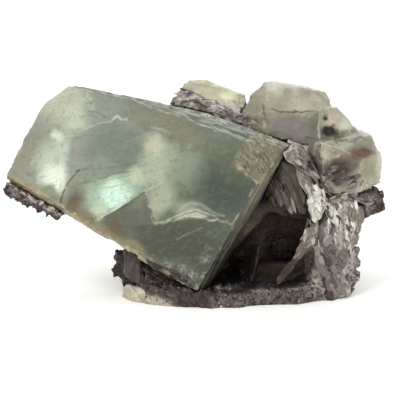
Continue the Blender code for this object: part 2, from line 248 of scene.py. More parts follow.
def sharpEdges(node, spacing=0.4, least=24.0):
    # points along the solid's corners, to find how near a place is to one
    skin = cleanCopy(node)
    spots = []
    for edge in skin.edges:
        if len(edge.link_faces) != 2 or edge.calc_face_angle(0.0) < math.radians(least):
            continue
        first, last = (vert.co / mm for vert in edge.verts)
        count = max(2, int((last - first).length / spacing) + 1)
        spots += [first.lerp(last, number / (count - 1)) for number in range(count)]
    skin.free()
    tree = kdtree.KDTree(len(spots))
    for number, spot in enumerate(spots):
        tree.insert(spot, number)
    tree.balance()
    return tree


def placesOf(skin):
    places = np.array([vert.co for vert in skin.verts]) / mm
    normals = np.array([vert.normal for vert in skin.verts])
    return places, normals


def smooth(places, size, seed):
    # noise from -1 to 1, with lumps about size across
    shift = Vector((seed * 17.3, seed * 5.1, seed * 9.7))
    return np.array([noise.noise(Vector(place) / size + shift) for place in places])


def wander(places, size, *seeds):
    # noise of its own for each axis, to push places about
    return np.stack([smooth(places, size, seed) for seed in seeds], axis=1)


def nearness(places, tree, reach):
    far = np.array([tree.find(place)[2] for place in places])
    return np.clip(1.0 - far / reach, 0.0, 1.0)


def terraces(places, across, along, pitch, length, seed):
    # flat bands at different heights, from 0 to 1, that run along one way and break off
    across, along = Vector(across).normalized(), Vector(along).normalized()
    sway = smooth(places, 9.0, seed) * 0.7
    bands = np.floor(places @ np.array(across) / pitch + sway)
    pieces = np.floor(places @ np.array(along) / length + sway * 1.7 + bands * 0.37)
    keys = zip(bands, pieces)
    return np.array([noise.cell(Vector((a + 0.5, b + 0.5, seed + 0.5))) for a, b in keys])


def crags(places, size, seed):
    # broken facets: height falls away from the middle of each cell
    shift = Vector((seed * 3.1, seed * 7.7, seed))
    found = [noise.voronoi(Vector(place) / size + shift)[0] for place in places]
    return np.array([far[1] - far[0] for far in found])


def fromLine(flat, corners):
    # how far each flat place is from a line through the corners
    nearest = np.full(len(flat), 1e9)
    for start, end in zip(corners, corners[1:]):
        start, end = np.array(start), np.array(end)
        run = end - start
        share = np.clip((flat - start) @ run / (run @ run), 0.0, 1.0)
        gap = np.linalg.norm(flat - start - share[:, None] * run, axis=1)
        nearest = np.minimum(nearest, gap)
    return nearest


def outward(places, centre, reach):
    # how far out each place lies in an ellipse: 0 at its centre and 1 at its rim
    return np.linalg.norm((places - np.array(centre)) / np.array(reach), axis=1)


def climb(values, start, width):
    # from 0 at the start to 1 a width further up
    return np.clip((values - start) / width, 0, 1)


def eased(values):
    held = np.clip(values, 0.0, 1.0)
    return held * held * (3.0 - 2.0 * held)


def leftOf(flat, start, end, soft):
    # 1 to the left of the way from start to end and 0 to the right
    run = np.array(end) - np.array(start)
    across = np.array((-run[1], run[0])) / np.linalg.norm(run)
    return eased(((flat - np.array(start)) @ across + soft) / (2 * soft))


def push(skin, heights):
    for vert, height in zip(skin.verts, heights):
        vert.co += vert.normal * float(height) * mm


def aboveFloor(skin):
    for vert in skin.verts:
        vert.co.z = max(vert.co.z, 0.0)


def finished(name, skin, node, finish, marks, replaces=True):
    bmesh.ops.recalc_face_normals(skin, faces=skin.faces)
    mesh = meshOf(name, skin)
    mesh.shade_smooth()
    for key, values in marks.items():
        values = np.asarray(values, np.float32)
        if values.ndim == 1:
            mesh.attributes.new(key, "FLOAT", "POINT").data.foreach_set("value", values)
        else:
            mesh.attributes.new(key, "FLOAT_COLOR", "POINT").data.foreach_set("color", values.ravel())
    mesh.materials.append(finish.material)
    piece = placed(name, mesh)
    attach(piece, "root")
    if replaces:
        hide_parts(node)
    triangles = sum(len(face.vertices) - 2 for face in mesh.polygons)
    print(f"{name}: {triangles} triangles")
    return piece


# The big block, in its own axes: x down its long edge, y inwards, z up its face

block = {
    "corner": (0.2, -22.4, 5.4), "roll": 29.9, "lean": 9.5, "yaw": 8.5,
    "voxel": 0.35, "lineReach": 0.25, "edgeReach": 1.3, "edgeChip": 0.42,
    "topStep": 0.42, "sideStep": 0.3, "lowStep": 0.35, "rearStep": 0.5, "ribStep": 0.35,
    "frontWave": 0.05, "roughness": 0.24,
}
blockTurn = (
    Matrix.Rotation(math.radians(-block["lean"]), 4, "X")
    @ Matrix.Rotation(math.radians(-block["yaw"]), 4, "Z")
    @ Matrix.Rotation(math.radians(block["roll"]), 4, "Y")
)
blockAxes = Matrix.Translation(Vector(block["corner"])) @ blockTurn

# Lines on the front face: corners as (x, z), half width, depth, and how dark or pale they are, pale partly
# painted glint
frontLines = {
    "crack": ([(-41.5, 10.9), (-42.4, 7.1), (-42.2, 3.4), (-41.4, 0.6), (-40.5, -0.6)], 0.42, 0.15, 0.8, 0),
    "crackRoot": ([(-38.8, 13.6), (-41.5, 10.9)], 0.4, 0, 0.35, 0),
    "waist": ([(-52.6, 15.2), (-49.2, 16.4), (-46.4, 18.4)], 0.4, 0, 0, 0.25),
    "zigzag": (
        [(-45.6, 20.8), (-43.9, 22.6), (-42.6, 24.4), (-41.4, 25.1), (-40.3, 26.2)], 0.3, -0.05, 0, 0.3,
    ),
    "fleck": ([(-40.3, 26.2), (-39.8, 28), (-38.4, 27.8), (-37.2, 28.3)], 0.45, 0.05, 0, 0.42),
    "darkCurve": ([(-46.8, 25.4), (-44.5, 26.2), (-42.1, 26.3)], 0.4, 0.06, 0.4, 0),
    "brownStreak": ([(-31.8, 28.7), (-29.2, 29.9), (-26.6, 29.9), (-24.7, 29.9)], 0.55, 0.03, 0.25, 0),
    "palerStreak": ([(-30.6, 29.9), (-28.2, 30.8), (-25.6, 31)], 0.4, 0, 0, 0.14),
    "arcLow": ([(-39.7, 7.8), (-36.1, 11.1), (-32.9, 14.9), (-28.9, 17.9)], 0.34, 0, 0.36, 0),
    "arcHigh": ([(-40.7, 11.1), (-36.5, 14.4), (-32.5, 17.4), (-29.7, 19.9)], 0.36, 0, 0.26, 0),
    "arcBetween": ([(-38.6, 10.9), (-34.5, 14.9), (-31, 17.6)], 0.22, 0, 0.18, 0),
    "leftLeg": ([(-30, 3.6), (-27.1, 8), (-25.3, 11), (-23.7, 15.1)], 0.26, 0, 0.55, 0),
    "rightLeg": ([(-23.5, 15.2), (-21.8, 13.4), (-19.4, 10.9), (-17.3, 9.2)], 0.2, 0, 0.3, 0),
    "aboveApex": ([(-23.4, 15.4), (-21, 19.3)], 0.26, -0.03, 0, 0.25),
    "featherEdge": (
        [(-17.2, 9), (-15.2, 10.8), (-12.7, 13), (-10.6, 15.3), (-8.2, 16.4), (-5.5, 16.8), (-4.1, 17.9)],
        0.34, -0.04, 0, 0.6,
    ),
    "featherTop": (
        [(-13.7, 15.5), (-12.3, 18.2), (-9.5, 19.4), (-5.9, 19), (-3, 19.7)], 0.6, 0, 0, 0.22,
    ),
    "featherMiddle": (
        [(-15, 11.6), (-12.8, 14.6), (-10.4, 17.4), (-7.2, 18), (-4.8, 18.6)], 0.3, 0, 0, 0.4,
    ),
    "featherLow": ([(-13.6, 12.6), (-11.6, 14.9), (-9.6, 16.6), (-7, 17.2)], 0.26, 0, 0, 0.5),
    "lowFeather": ([(-10.6, 8.4), (-8.4, 11.6), (-6.4, 14.4)], 0.3, 0, 0, 0.12),
}
# Chipped places on the front face: centre (x, z), reach, depth, paleness
frontChips = [
    ((-5.6, 2.3), 1.3, 0.35, 0.5), ((-2.7, 2.4), 1.5, 0.45, 0.6), ((0, 3.6), 1.2, 0.4, 0.6),
    ((-3.6, 1), 1.2, 0.4, 0.5), ((-2.1, 7.8), 1.4, 0.35, 0.5), ((-2.3, 10.2), 1, 0.3, 0.3),
    ((0.3, 0), 1.6, 0.3, 0.6), ((-9.3, 1.2), 1.5, 0.3, 0.5), ((-13.4, 0.7), 1.2, 0.2, 0.3),
    ((-48.6, 28.3), 1.6, 0.45, 0.5), ((-47, 27), 1.1, 0.4, 0.5), ((-19.7, 30.7), 0.7, 0.2, 0.5),
    ((-55.5, 12), 0.6, 0.2, 0), ((-53.9, 7.6), 0.7, 0.3, 0.2), ((-53.2, 6.4), 0.5, 0.2, 0.6),
]
# Straight bounds inside the front face: from, to, softness. A zone lies to the left of each that it names
blockBounds = {
    "aboveLeftLeg": ((-30.6, 2.2), (-23.7, 15.1), 0.2),
    "underLeftLeg": ((-23.7, 15.1), (-30.6, 2.2), 0.2),
    "aboveRightLeg": ((-23.7, 15.1), (-17.4, 9.1), 0.16),
    "underRightLeg": ((-17.4, 9.1), (-23.7, 15.1), 0.16),
    "aboveFeather": ((-17.6, 8.8), (-5.0, 18.6), 0.35),
    "underFeather": ((-5.0, 18.6), (-17.6, 8.8), 0.35),
    "underArc": ((-28.9, 17.9), (-39.7, 7.8), 0.9),
    "leftOfBand": ((-42.6, 7.0), (-47.4, 16.9), 0.7),
    "rightOfBand": ((-47.4, 16.9), (-42.6, 7.0), 0.5),
    "leftOfCrack": ((-41.2, -0.6), (-42.5, 8.6), 0.15),
    "rightOfCrack": ((-42.5, 8.6), (-41.2, -0.6), 0.15),
}
# the bounds of the painted glow above the left leg, where light shines through the crystal
paintedGlowSides = ("aboveLeftLeg", "underArc")
triangleSides = ("underLeftLeg", "underRightLeg")
# The block's own colour along its long edge, from x to colour
blockGround = [
    (-58, (166, 167, 151)), (-44, (150, 156, 142)), (-28, (138, 145, 128)), (-14, (108, 115, 100)),
    (-2, (94, 100, 86)),
]
# The cloudy zones of the front face, some of them painted glow: centre (x, z), reach (x, z), colour,
# strength, bounds
blockZones = [
    ((-58, 8), (9, 15), (148, 146, 131), 0.85, ()),
    ((-54, 25), (8.5, 8.5), (192, 195, 174), 0.85, ()),
    ((-43.4, 31), (9.5, 5), (146, 152, 139), 0.75, ()),
    ((-48.5, 21.8), (4.4, 4.2), (196, 207, 182), 0.9, ()),
    # painted glow: the pale spots left of the crack, where light shines through the crystal
    ((-48.6, 10.5), (5.4, 9), (194, 206, 188), 0.95, ("leftOfBand",)),
    ((-45.9, 5.4), (4.6, 5), (236, 242, 224), 1, ("leftOfCrack",)),
    ((-51.3, 16.3), (2, 1.9), (214, 221, 202), 0.9, ()),
    ((-44, 13.2), (2.8, 7.5), (160, 159, 149), 0.8, ("rightOfBand",)),
    ((-36.5, 20.5), (10, 7.5), (120, 132, 119), 0.8, ()),
    ((-33, 31.5), (10, 4.5), (134, 134, 117), 0.75, ()),
    ((-34.4, 14), (7.5, 6), (142, 154, 137), 0.7, ()),
    # painted glow: the mint glow above the left leg, where light shines through the crystal
    ((-30.4, 9.8), (9.5, 9), (182, 205, 182), 1, paintedGlowSides),
    ((-29.9, 10.2), (4.8, 5.4), (222, 247, 227), 1, paintedGlowSides),
    ((-32, 4.2), (3.2, 3.4), (204, 216, 186), 0.9, ("aboveLeftLeg",)),
    ((-27.6, 17.2), (3.4, 2.6), (196, 210, 184), 0.85, ()),
    ((-38.9, 2.8), (3.4, 5.2), (112, 100, 82), 0.95, ("rightOfCrack",)),
    ((-35.4, 0.8), (4.8, 2.4), (134, 120, 95), 0.9, ("rightOfCrack",)),
    ((-45.1, 1.9), (4.2, 2.1), (124, 133, 113), 0.8, ("leftOfCrack",)),
    ((-52, -0.4), (10, 2.8), (166, 148, 122), 0.85, ()),
    ((-23.4, 7), (10, 10), (106, 108, 95), 1, triangleSides),
    ((-24.3, 11.4), (2.2, 3.4), (124, 128, 112), 0.8, triangleSides),
    ((-26.6, 3), (5.5, 3.8), (106, 98, 80), 0.85, ("underLeftLeg",)),
    # painted glow: the pale column right of the triangle, where light shines through the crystal
    ((-24.3, 22), (6.4, 9), (178, 186, 162), 0.95, ("aboveRightLeg",)),
    ((-28, 26.8), (4.4, 4.2), (206, 204, 180), 0.75, ()),
    ((-19.6, 14.8), (4.2, 7), (172, 178, 154), 1, ("aboveRightLeg", "aboveFeather")),
    ((-18, 25), (6.5, 6.5), (148, 160, 140), 0.7, ()),
    ((-23, 33.2), (9.5, 3.6), (134, 131, 111), 0.8, ()),
    ((-6.6, 25.4), (10, 9), (78, 88, 77), 1, ("aboveFeather",)),
    ((-5, 31), (8, 4.5), (98, 102, 86), 0.6, ()),
    ((-8, 7), (14.5, 12), (82, 83, 74), 0.95, ("underFeather",)),
    ((-16.5, 5), (6, 5.5), (86, 84, 74), 0.85, ("underFeather",)),
    ((-9.8, 15.8), (8.6, 3.4), (176, 181, 162), 0.7, ("aboveFeather",)),
    ((-5, 3), (6, 3.2), (104, 105, 92), 0.7, ("underFeather",)),
    ((-22, 0.4), (13, 1.7), (150, 136, 108), 0.75, ()),
]
zoneSpread, zoneGain = 1.12, 1.35  # how far past its reach a zone goes, and how soon it is full
# The stripes of its other sides: strength, turn and size of the streaks, how detailed they are, colours
blockStripes = {
    "side": (0.9, (0, 0, 0), (1, 0.5, 6.0), 4.0, ((88, 84, 70), (122, 117, 101), (160, 154, 136))),
    "top": (0.8, (0, 0, 0), (9.0, 0.5, 1.0), 4.0, ((84, 86, 77), (116, 118, 107), (158, 159, 146))),
    "below": (0.85, (0, 0, 0), (3.0, 0.6, 1.0), 4.0, ((136, 120, 96), (166, 154, 128), (198, 190, 164))),
    "patch": (0.9, (0, 0.45, 0), (2.6, 1, 0.42), 5.0, ((104, 94, 78), (134, 126, 108), (168, 160, 142))),
}


def blockColours(flat, local):
    # the cloudy zones of the crystal and its painted glow, laid over one another from the first to the last
    swayed = flat + wander(local, 6.0, 15, 16) * 1.3
    swayed += wander(local, 1.7, 17, 18) * 0.45
    slightly = flat + wander(local, 1.9, 19, 20) * 0.22
    steps, grounds = zip(*blockGround)
    grounds = np.array([tint(*colour) for colour in grounds])
    along = swayed[:, 0] + smooth(local, 9.0, 14) * 5.0
    colours = np.stack([np.interp(along, steps, grounds[:, channel]) for channel in range(4)], axis=1)
    for centre, reach, colour, strength, sides in blockZones:
        share = eased((1.0 - outward(swayed, centre, reach) / zoneSpread) * zoneGain) * strength
        for side in sides:
            share *= leftOf(slightly, *blockBounds[side])
        colours += share[:, None] * (np.array(tint(*colour)) - colours)
    return colours


def splitAlongLines(skin, turn, shift):
    # smaller faces beside the front lines keep the lines crisp
    centres = np.array([face.calc_center_median() for face in skin.faces]) / mm @ turn.T + shift
    far = np.full(len(centres), 9.0)
    for corners, width, *_ in frontLines.values():
        far = np.minimum(far, fromLine(centres[:, [0, 2]], corners) - width)
    chosen = (far < block["lineReach"]) & (centres[:, 1] < 1.0)
    edges = {edge for face, near in zip(skin.faces, chosen) if near for edge in face.edges}
    bmesh.ops.subdivide_edges(skin, edges=list(edges), cuts=1, use_grid_fill=True)


def blockShape():
    skin = fineSkin("main_crystal", block["voxel"])
    back = blockAxes.inverted()
    turn = np.array(back.to_3x3())
    splitAlongLines(skin, turn, np.array(back.translation))
    skin.normal_update()
    places, normals = placesOf(skin)
    local = places @ turn.T + np.array(back.translation)
    facing = normals @ turn.T
    front = climb(-facing[:, 1], 0.7, 0.25) * (local[:, 1] < 1.2)
    top = climb(facing[:, 2], 0.6, 0.3)
    side = climb(facing[:, 0], 0.6, 0.3)
    below = climb(-facing[:, 2], 0.4, 0.3)
    rear = climb(facing[:, 1], 0.7, 0.25)

    height = block["frontWave"] * smooth(local, 6.0, 1) + 0.02 * smooth(local, 1.1, 2) + 0.06
    flat = local[:, [0, 2]]
    warp = wander(local, 2.2, 3, 4) * 0.35
    slightly = flat + wander(local, 1.2, 27, 28) * 0.16
    patchy = np.clip(0.75 + 0.6 * smooth(local, 1.5, 29), 0.35, 1) * front
    dark = np.zeros(len(local))
    pale = np.zeros(len(local))
    for corners, width, depth, darkness, paleness in frontLines.values():
        far = fromLine(slightly, corners)
        height -= depth * np.clip(1.0 - far / (width * 1.5), 0, 1) * front
        line = eased((width - far) / (width * 0.7)) * patchy
        dark = np.maximum(dark, line * darkness)
        pale = np.maximum(pale, line * paleness)

    bite = crags(local, 1.1, 5)
    for centre, reach, depth, paleness in frontChips:
        gap = np.linalg.norm(flat + warp * 1.6 - np.array(centre), axis=1)
        near = np.clip(1.3 - gap / reach, 0, 1) * front
        height -= depth * near * (0.35 + bite)
        pale = np.maximum(pale, paleness * near * np.clip(0.2 + 1.3 * smooth(local, 0.6, 30), 0, 0.6))

    # the beige patch at the upper right corner is broken into ribs
    patch = climb(local[:, 0], -8.5, 1) * climb(local[:, 2], 31, 1.5)
    patch *= climb(-facing[:, 1], 0.3, 0.3) * (local[:, 1] < 4)
    ribs = terraces(local, (1, 0.4, -0.8), (0.8, 0, 1), 0.9, 3.4, 6)
    height += patch * ((ribs - 0.55) * block["ribStep"] + 0.2 * smooth(local * (0.5, 1, 1), 0.8, 31))

    topBands = terraces(local, (0, 1, 0.25), (1, 0, 0), 0.75, 11.0, 7)
    sideBands = terraces(local, (0, 1, 0), (0, 0, 1), 0.8, 9.0, 8)
    lowBands = terraces(local, (0, 1, 0.5), (1, 0, 0), 0.7, 6.0, 9)
    rearBands = terraces(local, (0.35, 0, 1), (1, 0, -0.35), 3.4, 13.0, 10)
    height += top * (topBands - 0.6) * block["topStep"]
    height += side * (sideBands - 0.6) * block["sideStep"]
    height += below * (lowBands - 0.6) * block["lowStep"]
    height += rear * (rearBands - 0.5) * block["rearStep"]

    corner = nearness(places, sharpEdges("main_crystal"), block["edgeReach"])
    broken = np.clip(smooth(local, 2.6, 11) + 0.6 * smooth(local, 0.9, 12) + 0.1, 0, 1)
    height -= block["edgeChip"] * corner * broken * 1.4
    wear = corner * np.clip(0.35 + 0.8 * smooth(local, 1.7, 13) + broken, 0, 1)
    pale = np.maximum(pale, top * np.clip(smooth(local * (0.15, 1, 1), 0.6, 14) * 1.2, 0, 0.5))
    push(skin, height)
    edging = leftOf(flat + warp * 2, (-36.0, 32.4), (2.0, 39.6), 1.0) * front
    return skin, {
        "zones": blockColours(flat, local), "dark": dark, "pale": pale, "wear": wear,
        "patch": patch, "edging": edging, "top": top, "side": side, "below": below,
    }


def blockFinish():
    finish = Finish(
        "greyGreenFluorite", Specular_IOR_Level=0.5, IOR=1.434, Subsurface_Weight=0.12,
        Subsurface_Scale=mm, Subsurface_Radius=(1.6, 1.9, 1.4),
    )
    place = finish.turned(
        finish.place, [c * mm for c in block["corner"]], blockTurn.to_euler("XYZ"), (mm, mm, mm)
    )
    drift = finish.clouds(place, 7, 3)
    bent = finish.sway(place, 16, 1.5, 0)
    finish.paint = finish.colour("zones")

    # growth lines and faint feathers inside the crystal, rising to the right
    lines = finish.streaks(bent, (0, math.radians(-44), 0), (14, 6, 0.62), 4, 0.6)
    striped = finish.patch(bent, (-34, 2, 14.5), (11, 16, 8)) * 0.3 + 0.12
    finish.lay(lines.rise(0.52, 0.36) * striped, 92, 102, 90)
    finish.lay(lines.rise(0.54, 0.7) * striped * 0.45, 208, 218, 200)
    feathers = finish.streaks(bent, (0, math.radians(-72), 0), (9, 6, 0.5), 5, 0.65)
    low = finish.patch(bent, (-7, 2, 8), (15, 16, 13)) * 0.42 + 0.05
    finish.lay(feathers.rise(0.55, 0.72) * low, 168, 174, 156)
    edging = finish.mark("edging")
    ruled = finish.streaks(bent, (0, math.radians(-11), 0), (16, 6, 0.42), 4, 0.6)
    finish.lay(edging * 0.5, 118, 121, 108)
    finish.lay(ruled.rise(0.56, 0.66) * edging * 0.5, 184, 186, 168)

    # cloudy mottling
    mottled = finish.clouds(bent, 1.5, 7, 0.68, 0.4)
    finish.lay(mottled.rise(0.5, 0.34) * 0.3, 88, 90, 80)
    finish.lay(mottled.rise(0.48, 0.72) * 0.2, 150, 156, 140)

    # lines drawn by cracks, arcs and feathers
    finish.lay(finish.mark("dark"), 74, 60, 48)

    # dirt in small pits
    grit = finish.clouds(place, 0.5, 4, 0.7)
    specks = finish.cells(place, 1.9).rise(0.13, 0.05) * finish.clouds(place, 5).rise(0.54, 0.66)
    finish.lay(specks * 0.55, 84, 82, 68)
    finish.lay(grit.rise(0.58, 0.38) * 0.14, 92, 98, 86)

    # bevels, steps and broken places; the right side darkens towards its foot with painted shade
    for name, (strength, rotation, scale, detail, colours) in blockStripes.items():
        stripes = finish.streaks(place, rotation, scale, detail)
        tones = finish.shades(stripes, *zip((0.3, 0.5, 0.7), colours))
        finish.cover(finish.mark(name) * strength, tones)
        if name == "side":
            sideFootShade = finish.mark("side") * finish.patch(place, (0, 5, 4), (8, 20, 22), 0.4)
            finish.lay(sideFootShade * 0.75, 52, 46, 37)
    worn = (finish.mark("wear") * (grit + 0.35)).rise(0.3, 0.75)
    finish.lay(worn * 0.7, 190, 184, 158)
    # pale feathers and chips, with painted glints along the step edges
    pale = finish.mark("pale")
    finish.lay((pale * (grit + 0.6)).clamped(), 224, 228, 210)
    finish.feed("Base Color", finish.paint)
    finish.feed("Roughness", block["roughness"] + drift * 0.16 + worn * 0.25 + pale * 0.15)
    finish.bump(grit * 0.6 + lines * 0.4, 0.22, 0.2)
    return finish


# The other crystals: name, the voxel of the skin, how far it stands out, how wide and deep the corners
# have broken, the height, pitch and length of the cleavage steps, the way across and along the steps,
# and the height of the ripples
crystals = {
    "rear_crystals": ("rearCluster", 0.36, 0.16, 1.6, 0.5, 0.28, 2.2, 7, (0.3, 0.2, 1), (1, 0.1, -0.2), 0.12),
    "ridge_crystal": ("ridgeCrystal", 0.3, 0.2, 1.4, 0.5, 0.25, 1.8, 5, (0.3, 0, 1), (1, 0.2, -0.3), 0.12),
    "cap_shard": ("pinkCap", 0.2, 0.25, 0.9, 0.12, 0.3, 0.8, 3, (0.6, 0, 1), (1, 0, -0.6), 0.08),
    "splinter": ("thinSplinter", 0.16, 0.25, 0.7, 0.1, 0.25, 0.6, 3, (1, 0, 0.5), (0.5, 0, -1), 0.06),
    "inner_crystal": ("darkInnerCrystal", 0.26, 0.3, 1, 0.15, 0.5, 1.5, 6, (1, 0.2, 0.5), (0.4, 0, -1), 0.12),
    "icy_shard": ("whiteShard", 0.18, 0.15, 1, 0.2, 0.55, 0.8, 2.4, (1, 0, 0.3), (0.3, 0, -1), 0.12),
    "fang_blade": ("curvedBlade", 0.18, 0.12, 0.7, 0.1, 0.2, 0.7, 4, (1, 0, -0.8), (0.7, 0, 1), 0.08),
    "thin_blade": ("smallBlade", 0.18, 0.1, 0.6, 0.25, 0.15, 0.9, 4, (1, 0.5, 0), (0, 0, 1), 0.08),
    "quartz_seam": ("streakySeam", 0.24, 0.3, 1, 0.2, 0.7, 0.8, 4, (1, 0, 0.3), (0.3, 0.1, -1), 0.2),
    "left_plate": ("leftPlate", 0.2, 0.16, 0.7, 0.3, 0.2, 1, 4, (1, 0, 0), (0, 0, 1), 0.1),
    "foot_quartz": ("paleFoot", 0.22, 0.16, 0.8, 0.3, 0.2, 1, 3, (1, 0, 1), (1, 1, 0), 0.14),
}


def facetNormals(node, places):
    # which way the flat face of the solid looks that is nearest to each place
    skin = cleanCopy(node)
    tree = bvhtree.BVHTree.FromBMesh(skin)
    skin.free()
    return np.array([tree.find_nearest(Vector(place) * mm)[1] for place in places])


def crystalPiece(node, finish):
    name, voxel, grow, reach, chip, step, pitch, length, across, along, ripple = crystals[node]
    skin = fineSkin(node, voxel)
    places, normals = placesOf(skin)
    bands = terraces(places, across, along, pitch, length, 21)
    height = grow + (bands - 0.6) * step
    height += ripple * smooth(places, 2.4, 22) + ripple * 0.4 * smooth(places, 0.8, 23)
    corner = nearness(places, sharpEdges(node), reach)
    broken = np.clip(smooth(places, 2.0, 24) + 0.6 * smooth(places, 0.8, 25) + 0.15, 0, 1)
    height -= chip * corner * broken * 1.4
    wear = corner * np.clip(0.4 + 0.8 * smooth(places, 1.5, 26) + broken, 0, 1)
    # which way each face looks, used by the finishes to paint light and shade by facet
    facing = facetNormals(node, places + 0.25 * wander(places, 1.5, 51, 52, 53))
    push(skin, height)
    aboveFloor(skin)
    finished(name, skin, node, finish, {
        "wear": wear, "facesUp": facing[:, 2], "facesFront": -facing[:, 1], "facesRight": facing[:, 0],
    })


# Zones on the rear crystals: centre, reach, core, colour, strength
rearZones = [
    ((25.2, -7, 42.8), (8.6, 9, 5.8), 0.6, (132, 127, 118), 0.85),
    ((23.5, -8, 45), (5, 9, 3), 0.2, (146, 134, 133), 0.6),
    ((27.4, -8, 42), (3, 9, 2.4), 0.2, (144, 134, 132), 0.5),
    ((27, -8, 38.5), (5, 9, 3.4), 0.2, (112, 112, 102), 0.7),
    ((30.6, -8, 44), (1.8, 9, 3.6), 0.2, (110, 114, 101), 0.7),
    ((14.8, -4, 46), (5.4, 10, 8), 0.5, (142, 137, 120), 0.95),
    ((17.8, -6, 48.4), (0.5, 9, 2.6), 0.2, (92, 72, 52), 0.8),
    ((25.4, 0, 56.2), (8.5, 14, 3.2), 0.45, (214, 214, 202), 0.9),
    ((25, -4.4, 48.3), (7.7, 9, 0.32), 0.5, (76, 68, 58), 0.75),
    # painted highlight: a thin pale line down the lit side of the vertical edge
    ((32.5, -4.4, 42.8), (0.4, 9, 6), 0.4, (196, 194, 176), 0.6),
    ((36, -2, 45.4), (3, 9, 2.6), 0.2, (216, 200, 176), 0.6),
    ((39.5, 0, 43.8), (3, 9, 2.6), 0.3, (218, 219, 198), 0.9),
    ((39, -2, 40.6), (8.6, 12, 2.8), 0.5, (138, 138, 124), 1),
    ((38.5, -6, 37.2), (8, 9, 3.2), 0.3, (118, 107, 95), 0.85),
    ((43, -6, 37.8), (5.2, 9, 2.4), 0.35, (100, 78, 66), 0.95),
    ((46.6, -6, 39.4), (2.6, 9, 1.8), 0.3, (148, 122, 104), 0.7),
    ((36.8, -9, 34.6), (6.4, 8, 3.6), 0.4, (74, 61, 55), 0.95),
    ((41, -8, 35.2), (4, 8, 1.6), 0.2, (110, 98, 88), 0.8),
    ((45.4, -6, 33.2), (5, 9, 3.8), 0.3, (152, 148, 124), 0.9),
    ((48.6, -4, 33), (1.8, 9, 6), 0.3, (200, 197, 176), 0.7),
    ((38, -9, 30.6), (6, 8, 2), 0.3, (120, 110, 98), 0.7),
    ((20.6, 0, 54.4), (3.6, 12, 3), 0.2, (214, 214, 200), 0.75),
]
# Dark brown notches in them, seen from the front, painted as dark spots with the shade of their hollows
# rather than cut
rearNotchShades = [
    ((33.9, -2, 46.2), (1.3, 9, 1), 0.3, (78, 58, 46), 0.95),
    ((35.2, -2, 42.8), (3.1, 14, 2.1), 0.4, (64, 44, 33), 1),
    ((37.6, -2, 41.2), (2.4, 14, 1), 0.2, (96, 78, 64), 0.8),
    ((32.9, -4, 36.6), (0.9, 9, 4.4), 0.2, (88, 76, 66), 0.7),
]


def rearFinish():
    finish = Finish(
        "paleFluorite", Specular_IOR_Level=0.5, IOR=1.434, Subsurface_Weight=0.15,
        Subsurface_Scale=mm, Subsurface_Radius=(1.8, 1.8, 1.4),
    )
    place = finish.scaledPlace()
    swayed = finish.sway(place, 3, 1.1, 3)
    clouds = finish.clouds(place, 5, 5)
    up, front, right = (finish.mark(name) for name in ("facesUp", "facesFront", "facesRight"))
    finish.paint = finish.shades(
        clouds, (0.3, (150, 146, 128)), (0.5, (168, 164, 145)), (0.72, (188, 184, 164)),
    )
    grey = finish.shades(
        clouds, (0.32, (120, 117, 107)), (0.5, (134, 130, 121)), (0.68, (150, 142, 138)),
    )
    # painted light and shade by facet: grey to the front, a little darker to the left, paler to the right and
    # on top
    finish.cover(front.rise(0.955, 0.985), grey)
    finish.lay(right.rise(-0.45, -0.7) * 0.8, 150, 146, 129)
    finish.lay(right.rise(0.4, 0.65) * 0.4, 184, 184, 165)
    finish.lay(up.rise(0.8, 0.92) * 0.85, 214, 214, 198)
    finish.layZones(swayed, rearZones)
    grit = finish.clouds(place, 0.6, 4, 0.7)
    veins = finish.streaks(place, (0, 0.5, 0), (0.8, 2, 4), 5, 0.6, 1)
    finish.lay(veins.rise(0.56, 0.7) * 0.16, 214, 210, 190)
    finish.lay(veins.rise(0.45, 0.3) * 0.25, 98, 92, 82)
    specks = finish.cells(place, 1.6).rise(0.13, 0.05) * clouds.rise(0.48, 0.6)
    finish.lay(specks * 0.6, 98, 84, 64)
    cracks = finish.cells(swayed, 5.5, "DISTANCE_TO_EDGE").rise(0.03, 0.008) * clouds.rise(0.44, 0.56)
    finish.lay(cracks * 0.25, 96, 88, 76)
    worn = (finish.mark("wear") * (grit + 0.3)).rise(0.35, 0.8)
    finish.lay(worn * 0.45, 214, 210, 190)
    # the notches' painted shade
    finish.layZones(finish.sway(swayed, 0.9, 0.9, 4), rearNotchShades)
    finish.feed("Base Color", finish.paint)
    finish.feed("Roughness", 0.26 + grit * 0.15 + worn * 0.2)
    finish.bump(grit * 0.5 + veins * 0.5, 0.3, 0.25)
    return finish


def stoneFinish(name, stops, streak, size, worn, roughness=0.35, zones=()):
    # a streaky mineral: its colours, the way its streaks run and how wide they are
    finish = Finish(
        name, Specular_IOR_Level=0.5, IOR=1.45, Subsurface_Weight=0.12,
        Subsurface_Scale=mm, Subsurface_Radius=(1.4, 1.3, 1.0),
    )
    place = finish.scaledPlace()
    streaks = finish.streaks(place, streak, (size, size, size * 5), 6, 0.62, 0.6)
    clouds = finish.clouds(place, 2.8, 4)
    grit = finish.clouds(place, 0.4, 4, 0.7)
    mood = streaks * 0.55 + clouds * 0.3 + grit * 0.15
    finish.paint = finish.shades(mood, *stops)
    finish.layZones(finish.sway(place, 1.6, 0.6), zones)
    # painted shade on faces that look right and painted light on faces that look up
    finish.lay(finish.mark("facesRight").rise(0.2, 0.7) * 0.3, *stops[0][1])
    finish.lay(finish.mark("facesUp").rise(0.3, 0.8) * 0.35, *worn)
    edge = (finish.mark("wear") * (grit + 0.35)).rise(0.3, 0.75)
    finish.lay(edge * 0.6, *worn)
    finish.feed("Base Color", finish.paint)
    finish.feed("Roughness", roughness + grit * 0.2)
    finish.bump(streaks * 0.6 + grit * 0.4, 0.45, 0.25)
    return finish
